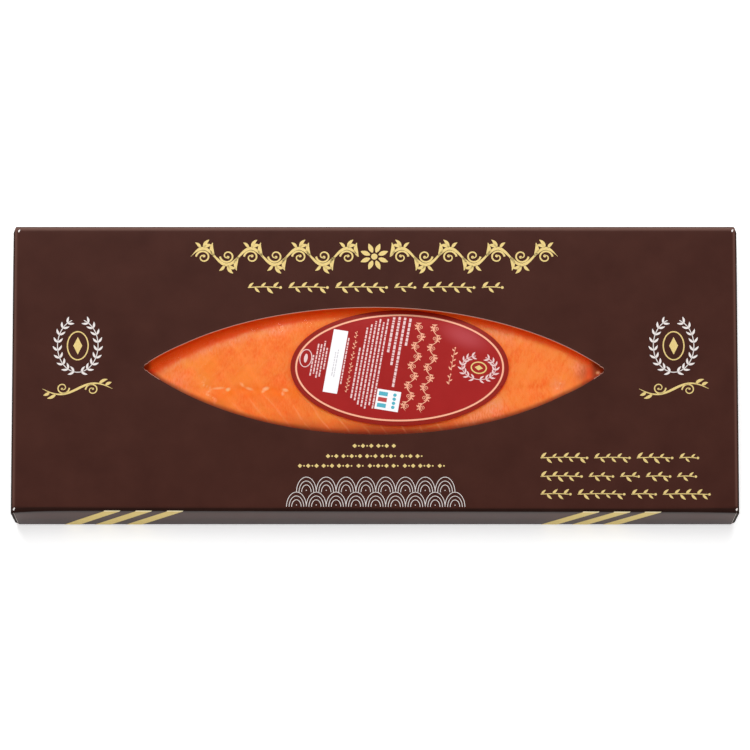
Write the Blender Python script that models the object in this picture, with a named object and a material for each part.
# Window carton of pre-sliced smoked salmon, lying flat with its front panel up.
# Metres, +Z up. The origin is the middle of the carton's footprint, on the surface it lies on.
# +X runs along the carton's length, and +Y towards its far long side.

import math

import bmesh
import bpy

MM = 0.001

# Carton: folded board, outside sizes at the front panel
CARTON_LENGTH = 519.0 * MM
CARTON_WIDTH = 216.4 * MM
FOLD_HEIGHT = 27.6 * MM      # the long folds of the front panel
PANEL_CROWN = 0.6 * MM       # how far the middle of the front panel stands above its folds
NEAR_BOW = 1.25 * MM         # how far the near fold is drawn in at mid length
NEAR_BOW_SLOPE = 0.6 * MM    # how much more at the left end of that fold, and less at the right end
BOW_POWER = 16               # how suddenly the bow starts at the corners
END_LEAN = 3.6 * MM          # how far the end closures lean in at their foot
BEND_LOOPS_X = 23            # edge loops that let the board bend
BEND_LOOPS_Y = 7
BOARD = 0.55 * MM
FOLD_RADIUS = 1.2 * MM
FOLD_STEPS = 3

# End closures: a panel folded down from the front, over a dust flap from each side panel
FLAP_GAP = 0.5 * MM          # the gap between the closure and the dust flap behind it
CLOSURE_INSET = 0.4 * MM     # how far the closure's raw edge stops short of the side panels
CORNER_SLOT_DEPTH = 4.0 * MM
TUCK_SLIT = 0.35 * MM        # the line where the closure tucks in behind the back panel
SLIT_DEPTH = 0.5 * MM
SLIT_SETBACK = 1.3 * MM      # from the closure's outer face to that line

# Window in the front panel: two elliptical arcs that meet in rounded tips, each a little uneven.
# A bend is how far an edge shifts towards +Y, and where along X the shift starts and is complete.
WINDOW_CENTRE_X = -0.7 * MM
WINDOW_TIP_Y = 0.5 * MM
WINDOW_HALF_LENGTH = 165.0 * MM
FAR_RISE = 45.9 * MM
FAR_ARC_SEMI_AXIS = 192.0 * MM
FAR_BENDS = (
    (-1.35 * MM, 15.0 * MM, 140.0 * MM),
    (0.5 * MM, 150.0 * MM, 165.0 * MM),
    (1.7 * MM, -130.0 * MM, -170.0 * MM),
)
NEAR_DROP = 49.8 * MM
NEAR_ARC_SEMI_AXIS = 212.0 * MM
NEAR_BENDS = (
    (-1.3 * MM, -20.0 * MM, 110.0 * MM),
    (-0.8 * MM, 132.0 * MM, 150.0 * MM),
)
TIP_RADIUS = 2.6 * MM
ARC_STEPS = 30
TIP_STEPS = 4

# Vacuum-packed side of salmon: its tail end points to -X
SIDE_TAIL_X = -238.0 * MM
SIDE_HEAD_X = 240.0 * MM
SIDE_HALF_WIDTH = 90.0 * MM
REST_GAP = 0.3 * MM          # between pieces that touch
SIDE_TOP = 22.4 * MM         # thickness at the thickest place
TAIL_THINNING = 11.0 * MM
HEAD_THINNING = 2.2 * MM
EDGE_THICKNESS = 5.0 * MM
EDGE_MIDDLE = 0.35 * EDGE_THICKNESS     # height of the widest line of the rounded edge
UNDER_INSET = 3.0 * MM       # from there to the flat underside
TAIL_WIDTH_SHARE = 0.62      # width at the tail as a share of the full width
MIDLINE_Y = -15.0 * MM
GROOVE_DEPTH = 0.8 * MM
GROOVE_HALF_WIDTH = 2.6 * MM
SLICE_PITCH = 21.0 * MM
SLICE_RELIEF = 0.45 * MM
SLICE_LEAN = 0.45            # how far a slice's edge runs along X for each step along Y
SHOWN_HALF_LENGTH = 172.0 * MM          # the length that shows through the window, and a little more
WINDOW_STATIONS = 58
END_STATIONS = 9
FAR_STEPS = 9                # points across, from the midline to the far and to the near edge
NEAR_STEPS = 8
MIN_HALF_WIDTH = 6.0 * MM    # at the blunt tips of the side

# Oval label on the film
LABEL_CENTRE_X = 17.6 * MM
LABEL_CENTRE_Y = 2.4 * MM
LABEL_HALF_LENGTH = 78.0 * MM
LABEL_HALF_WIDTH = 43.6 * MM
LABEL_THICKNESS = 0.25 * MM
LABEL_GAP = 0.35 * MM
LABEL_SPOKES = 56
LABEL_RINGS = (0.18, 0.4, 0.6, 0.78, 0.92, 1.0)

# Colours are linear
BOARD_BROWN = (0.055, 0.026, 0.021, 1.0)
SALMON_ORANGE = (0.90, 0.25, 0.07, 1.0)
LABEL_RED = (0.36, 0.020, 0.022, 1.0)


def clear_scene():
    for item in list(bpy.data.objects):
        bpy.data.objects.remove(item, do_unlink=True)


def material(name, colour, roughness, metallic=0.0):
    made = bpy.data.materials.new(name)
    made.use_nodes = True
    shader = made.node_tree.nodes["Principled BSDF"]
    shader.inputs["Base Color"].default_value = colour
    shader.inputs["Roughness"].default_value = roughness
    shader.inputs["Metallic"].default_value = metallic
    made.diffuse_color = colour
    return made


def add_object(name, mesh, surface=None):
    made = bpy.data.objects.new(name, mesh)
    bpy.context.scene.collection.objects.link(made)
    if surface is not None:
        mesh.materials.append(surface)
    return made


def mesh_from(bm, name, sharp_angle=40.0):
    bmesh.ops.recalc_face_normals(bm, faces=bm.faces)
    mesh = bpy.data.meshes.new(name)
    bm.to_mesh(mesh)
    bm.free()
    mesh.shade_smooth()
    mesh.set_sharp_from_angle(angle=math.radians(sharp_angle))
    return mesh


def smooth_step(low, high, value):
    part = min(max((value - low) / (high - low), 0.0), 1.0)
    return part * part * (3.0 - 2.0 * part)


def front_crown(x, y):
    """How far the front panel stands above its long folds."""
    along = 1.0 - (2.0 * x / CARTON_LENGTH) ** 2
    across = 1.0 - (2.0 * y / CARTON_WIDTH) ** 2
    return PANEL_CROWN * max(along, 0.0) * max(across, 0.0)


def settle(bm):
    """Gives a square box the slight crown, near bow and end lean of folded board with food in it."""
    for vertex in bm.verts:
        x, y, z = vertex.co
        height = z / FOLD_HEIGHT
        along = 2.0 * x / CARTON_LENGTH
        across = max(-2.0 * y / CARTON_WIDTH, 0.0)
        lean = END_LEAN * (1.0 - height) * abs(along) ** 8
        bow = (NEAR_BOW - NEAR_BOW_SLOPE * along) * max(1.0 - along ** BOW_POWER, 0.0) * across ** 8
        vertex.co.x = x - math.copysign(lean, x)
        vertex.co.y = y + bow * height
        if height > 0.5:
            vertex.co.z = z + front_crown(x, y)


def box(low, high):
    bm = bmesh.new()
    bmesh.ops.create_cube(bm, size=1.0)
    for vertex in bm.verts:
        for axis in range(3):
            middle = 0.5 * (low[axis] + high[axis])
            vertex.co[axis] = middle + vertex.co[axis] * (high[axis] - low[axis])
    return bm


def slice_box(bm, axis, places):
    """Adds edge loops across a box, so that it can bend."""
    normal = [0.0, 0.0, 0.0]
    normal[axis] = 1.0
    for place in places:
        point = [0.0, 0.0, 0.0]
        point[axis] = place
        everything = bm.verts[:] + bm.edges[:] + bm.faces[:]
        bmesh.ops.bisect_plane(bm, geom=everything, plane_co=point, plane_no=normal)


def spread(low, high, count):
    return [low + (high - low) * (i + 1) / (count + 1) for i in range(count)]


def bend_loops(bm):
    slice_box(bm, 0, spread(-CARTON_LENGTH / 2, CARTON_LENGTH / 2, BEND_LOOPS_X))
    slice_box(bm, 1, spread(-CARTON_WIDTH / 2, CARTON_WIDTH / 2, BEND_LOOPS_Y))


def carton_shell():
    half_x = CARTON_LENGTH / 2
    half_y = CARTON_WIDTH / 2
    bm = box((-half_x, -half_y, 0.0), (half_x, half_y, FOLD_HEIGHT))
    folds = [e for e in bm.edges if abs(e.verts[0].co.z - e.verts[1].co.z) < MM]
    bmesh.ops.bevel(bm, geom=folds, offset=FOLD_RADIUS, segments=FOLD_STEPS, profile=0.5, affect="EDGES")
    bend_loops(bm)
    settle(bm)
    return mesh_from(bm, "carton", 60.0)


def carton_hollow():
    half_x = CARTON_LENGTH / 2 - 2 * BOARD - FLAP_GAP
    half_y = CARTON_WIDTH / 2 - BOARD
    bm = box((-half_x, -half_y, BOARD), (half_x, half_y, FOLD_HEIGHT - BOARD))
    bend_loops(bm)
    settle(bm)
    return mesh_from(bm, "hollow")


def arc_points(semi_axis, rise, half_length, steps):
    """Points of an elliptical arc from +half_length to -half_length, rising to `rise` in the middle."""
    end_height = math.sqrt(1.0 - (half_length / semi_axis) ** 2)
    other_axis = rise / (1.0 - end_height)
    first = math.acos(half_length / semi_axis)
    points = []
    for i in range(steps + 1):
        angle = first + (math.pi - 2.0 * first) * i / steps
        points.append((semi_axis * math.cos(angle), other_axis * (math.sin(angle) - end_height)))
    return points


def rounded(points, corners, radius, steps):
    """Replaces the listed corners of a closed outline with arcs."""
    made = []
    count = len(points)
    for i, (x, y) in enumerate(points):
        if i not in corners:
            made.append((x, y))
            continue
        before = points[i - 1]
        after = points[(i + 1) % count]
        into = math.atan2(before[1] - y, before[0] - x)
        out = math.atan2(after[1] - y, after[0] - x)
        half = 0.5 * math.remainder(out - into, 2.0 * math.pi)
        middle = into + half
        reach = radius / math.sin(abs(half))
        centre = (x + reach * math.cos(middle), y + reach * math.sin(middle))
        turn = math.pi / 2 - abs(half)
        sign = math.copysign(1.0, half)
        for step in range(steps + 1):
            angle = middle + math.pi + sign * turn * (1.0 - 2.0 * step / steps)
            made.append((centre[0] + radius * math.cos(angle), centre[1] + radius * math.sin(angle)))
    return made


def edge_shift(x, bends):
    """How far towards +Y an uneven edge of the window lies from its arc."""
    return sum(amount * smooth_step(start, stop, x) for amount, start, stop in bends)


def window_outline():
    far = arc_points(FAR_ARC_SEMI_AXIS, FAR_RISE, WINDOW_HALF_LENGTH, ARC_STEPS)
    near = arc_points(NEAR_ARC_SEMI_AXIS, NEAR_DROP, WINDOW_HALF_LENGTH, ARC_STEPS)
    far = [(x, y + edge_shift(x, FAR_BENDS)) for x, y in far]
    for tip in (0, ARC_STEPS):
        x = far[tip][0]
        far[tip] = (x, 0.5 * (edge_shift(x, FAR_BENDS) + edge_shift(x, NEAR_BENDS)))
    near = [(-x, edge_shift(-x, NEAR_BENDS) - y) for x, y in near[1:-1]]
    loop = rounded(far + near, (0, ARC_STEPS), TIP_RADIUS, TIP_STEPS)
    return [(x + WINDOW_CENTRE_X, y + WINDOW_TIP_Y) for x, y in loop]


def prism(outline, bottom, top, name, settled=False):
    bm = bmesh.new()
    lower = [bm.verts.new((x, y, bottom)) for x, y in outline]
    upper = [bm.verts.new((x, y, top)) for x, y in outline]
    bm.faces.new(list(reversed(lower)))
    bm.faces.new(upper)
    count = len(outline)
    for i in range(count):
        j = (i + 1) % count
        bm.faces.new((lower[i], lower[j], upper[j], upper[i]))
    if settled:
        settle(bm)
    return mesh_from(bm, name)


def corner_outline(side_x, side_y):
    """The gap at an upright corner: round the side panel's end fold, then in behind the closure."""
    half_x = CARTON_LENGTH / 2
    half_y = CARTON_WIDTH / 2
    flap_face = half_x - BOARD - FLAP_GAP
    clear = 1.0 * MM
    points = [
        (half_x + clear, half_y + clear),
        (half_x + clear, half_y - CLOSURE_INSET),
        (half_x - BOARD, half_y - CLOSURE_INSET),
        (half_x - BOARD, half_y - CORNER_SLOT_DEPTH),
        (flap_face, half_y - CORNER_SLOT_DEPTH),
    ]
    for step in range(FOLD_STEPS + 1):
        angle = 0.5 * math.pi * step / FOLD_STEPS
        points.append((flap_face - FOLD_RADIUS + FOLD_RADIUS * math.cos(angle),
                       half_y - FOLD_RADIUS + FOLD_RADIUS * math.sin(angle)))
    points.append((flap_face - FOLD_RADIUS, half_y + clear))
    return [(side_x * x, side_y * y) for x, y in points]


def cutters():
    below = -1.0 * MM
    clear = 3.0 * MM
    made = [carton_hollow(), prism(window_outline(), FOLD_HEIGHT - clear, FOLD_HEIGHT + clear, "window")]
    for side_x in (-1, 1):
        for side_y in (-1, 1):
            outline = corner_outline(side_x, side_y)
            made.append(prism(outline, below, FOLD_HEIGHT - FOLD_RADIUS, "corner_gap", settled=True))
        outer = side_x * (CARTON_LENGTH / 2 - SLIT_SETBACK)
        inner = outer - side_x * TUCK_SLIT
        half_y = CARTON_WIDTH / 2 + 1.0 * MM
        slit = [(outer, -half_y), (outer, half_y), (inner, half_y), (inner, -half_y)]
        made.append(prism(slit, below, SLIT_DEPTH, "tuck_slit", settled=True))
    return made


def build_carton():
    surface = material("varnished_board", BOARD_BROWN, 0.4)
    carton = add_object("carton", carton_shell(), surface)
    for number, mesh in enumerate(cutters()):
        cutter = add_object("cutter_%02d" % number, mesh)
        cutter.hide_render = True
        cutter.display_type = "WIRE"
        cut = carton.modifiers.new("cut_%02d" % number, "BOOLEAN")
        cut.operation = "DIFFERENCE"
        cut.solver = "EXACT"
        cut.object = cutter


def side_half_width(x):
    """Half the width of the side of salmon: full at the shoulder, narrowing to the tail, with round ends."""
    along = (x - SIDE_TAIL_X) / (SIDE_HEAD_X - SIDE_TAIL_X)
    taper = TAIL_WIDTH_SHARE + (1.0 - TAIL_WIDTH_SHARE) * smooth_step(0.0, 0.55, along)
    tail_round = (1.0 - (1.0 - min(along / 0.10, 1.0)) ** 2.2) ** 0.5
    head_round = (1.0 - (1.0 - min((1.0 - along) / 0.12, 1.0)) ** 2.4) ** 0.5
    return SIDE_HALF_WIDTH * taper * tail_round * head_round


def side_thickness(x):
    """Thickness on the midline: thickest a little behind the shoulder, thinner at the tail."""
    along = (x - SIDE_TAIL_X) / (SIDE_HEAD_X - SIDE_TAIL_X)
    body = SIDE_TOP - TAIL_THINNING * (1.0 - smooth_step(-0.18, 0.42, along))
    shoulder = HEAD_THINNING * smooth_step(0.8, 1.0, along)
    ends = min(smooth_step(-0.012, 0.06, along), smooth_step(-0.012, 0.05, 1.0 - along))
    return EDGE_THICKNESS + (body - shoulder - EDGE_THICKNESS) * ends


def midline(x):
    """The line between the back and belly muscles, which the slices keep."""
    return MIDLINE_Y + 5.0 * MM * math.sin(math.pi * x / CARTON_LENGTH) ** 2


def label_cover(x, y):
    """1 under the label, where the film is held flat, and 0 well outside it."""
    across = math.hypot((x - LABEL_CENTRE_X) / LABEL_HALF_LENGTH, (y - LABEL_CENTRE_Y) / LABEL_HALF_WIDTH)
    return 1.0 - smooth_step(1.0, 1.22, across)


def side_top(x, y):
    """Height of the salmon's upper surface above its underside."""
    half_width = max(side_half_width(x), MM)
    across = min(abs(y) / half_width, 1.0)
    crown = (1.0 - across ** 3.4) ** 0.62
    height = EDGE_THICKNESS + (side_thickness(x) - EDGE_THICKNESS) * crown
    open_part = (1.0 - label_cover(x, y)) * smooth_step(0.0, 0.35, crown)
    groove = math.exp(-((y - midline(x)) / GROOVE_HALF_WIDTH) ** 2)
    phase = (x + SLICE_LEAN * (y + 0.4 * abs(y - midline(x)))) / SLICE_PITCH
    lap = phase - math.floor(phase)
    step = lap if lap < 0.8 else 4.0 * (1.0 - lap)
    return height + open_part * (SLICE_RELIEF * (step - 0.5) - GROOVE_DEPTH * groove)


def station_places():
    """Places along X, closest together where the window shows the salmon."""
    window = SHOWN_HALF_LENGTH
    easing = [1.0 - math.cos(0.5 * math.pi * i / END_STATIONS) for i in range(END_STATIONS)]
    tail = [SIDE_TAIL_X + (-window - SIDE_TAIL_X) * part for part in easing]
    head = [SIDE_HEAD_X - (SIDE_HEAD_X - window) * part for part in reversed(easing)]
    middle = [-window + 2.0 * window * i / WINDOW_STATIONS for i in range(WINDOW_STATIONS + 1)]
    return tail + middle + head


def across_places(x):
    """Places across the salmon at x, closest together at the midline and at the edges."""
    half = max(side_half_width(x), MIN_HALF_WIDTH)
    middle = midline(x)
    core = min(GROOVE_HALF_WIDTH, 0.05 * half)
    near = [math.sin(0.5 * math.pi * (i + 1) / NEAR_STEPS) for i in range(NEAR_STEPS)]
    far = [math.sin(0.5 * math.pi * (i + 1) / FAR_STEPS) for i in range(FAR_STEPS)]
    spots = [middle - (middle + half) * part for part in reversed(near)]
    spots += [middle - core, middle, middle + core]
    return spots + [middle + (half - middle) * part for part in far]


def build_salmon():
    floor = BOARD + REST_GAP
    bm = bmesh.new()
    rings = []
    for x in station_places():
        spots = across_places(x)
        ring = [bm.verts.new((x, y, floor + side_top(x, y))) for y in spots]
        half = spots[-1]
        inner = max(half - UNDER_INSET, 0.5 * half)
        ring.append(bm.verts.new((x, half, floor + EDGE_MIDDLE)))
        ring.append(bm.verts.new((x, inner, floor)))
        ring.append(bm.verts.new((x, -inner, floor)))
        ring.append(bm.verts.new((x, -half, floor + EDGE_MIDDLE)))
        rings.append(ring)
    for this, following in zip(rings, rings[1:]):
        count = len(this)
        for i in range(count):
            j = (i + 1) % count
            bm.faces.new((this[i], following[i], following[j], this[j]))
    bm.faces.new(rings[0])
    bm.faces.new(list(reversed(rings[-1])))
    surface = material("salmon_in_film", SALMON_ORANGE, 0.3)
    add_object("vacuum_packed_salmon", mesh_from(bm, "vacuum_packed_salmon", 60.0), surface)


def label_ring(bm, part, lift):
    ring = []
    for i in range(LABEL_SPOKES):
        angle = 2.0 * math.pi * i / LABEL_SPOKES
        x = LABEL_CENTRE_X + part * LABEL_HALF_LENGTH * math.cos(angle)
        y = LABEL_CENTRE_Y + part * LABEL_HALF_WIDTH * math.sin(angle)
        ring.append(bm.verts.new((x, y, BOARD + REST_GAP + side_top(x, y) + lift)))
    return ring


def label_face(bm, lift):
    """One side of the label: a middle point, then rings out to the edge. Returns the outer ring."""
    height = BOARD + REST_GAP + side_top(LABEL_CENTRE_X, LABEL_CENTRE_Y) + lift
    middle = bm.verts.new((LABEL_CENTRE_X, LABEL_CENTRE_Y, height))
    rings = [label_ring(bm, part, lift) for part in LABEL_RINGS]
    for i in range(LABEL_SPOKES):
        j = (i + 1) % LABEL_SPOKES
        bm.faces.new((middle, rings[0][i], rings[0][j]))
        for inner, outer in zip(rings, rings[1:]):
            bm.faces.new((inner[i], outer[i], outer[j], inner[j]))
    return rings[-1]


def build_label():
    bm = bmesh.new()
    lower = label_face(bm, LABEL_GAP)
    upper = label_face(bm, LABEL_GAP + LABEL_THICKNESS)
    for i in range(LABEL_SPOKES):
        j = (i + 1) % LABEL_SPOKES
        bm.faces.new((lower[i], lower[j], upper[j], upper[i]))
    surface = material("printed_label", LABEL_RED, 0.35)
    add_object("label", mesh_from(bm, "label", 60.0), surface)


clear_scene()
build_carton()
build_salmon()
build_label()
